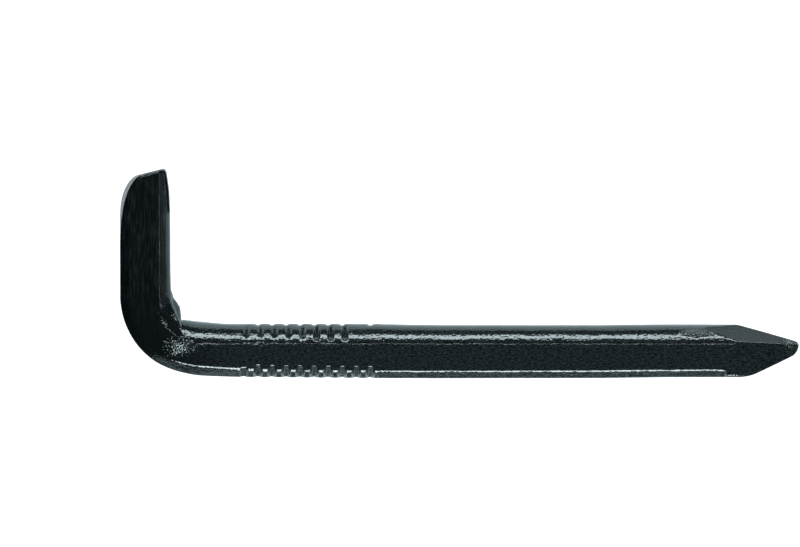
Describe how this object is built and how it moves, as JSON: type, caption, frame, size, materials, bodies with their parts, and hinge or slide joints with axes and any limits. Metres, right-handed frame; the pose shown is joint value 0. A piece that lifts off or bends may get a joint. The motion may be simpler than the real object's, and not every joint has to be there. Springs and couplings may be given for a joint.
{
  "type": "bent hook nail",
  "caption": "Drive-in hook nail of blackened square steel bar, bent at a right angle, with a faceted point, gripper notches and a rounded-over hook end",
  "frame": {"origin": "under the middle of the nail's box, on the plane of its flat back, which it lies on", "axes": "+X along the shank towards the point, +Y up the hook in the plane of the bend, +Z from the flat back to the front"},
  "size_m": [0.08, 0.0246, 0.006],
  "materials": {
    "blackened_steel": "satin"
  },
  "bodies": {
    "root": {"hook_nail": "blackened_steel"}
  },
  "joints": []
}
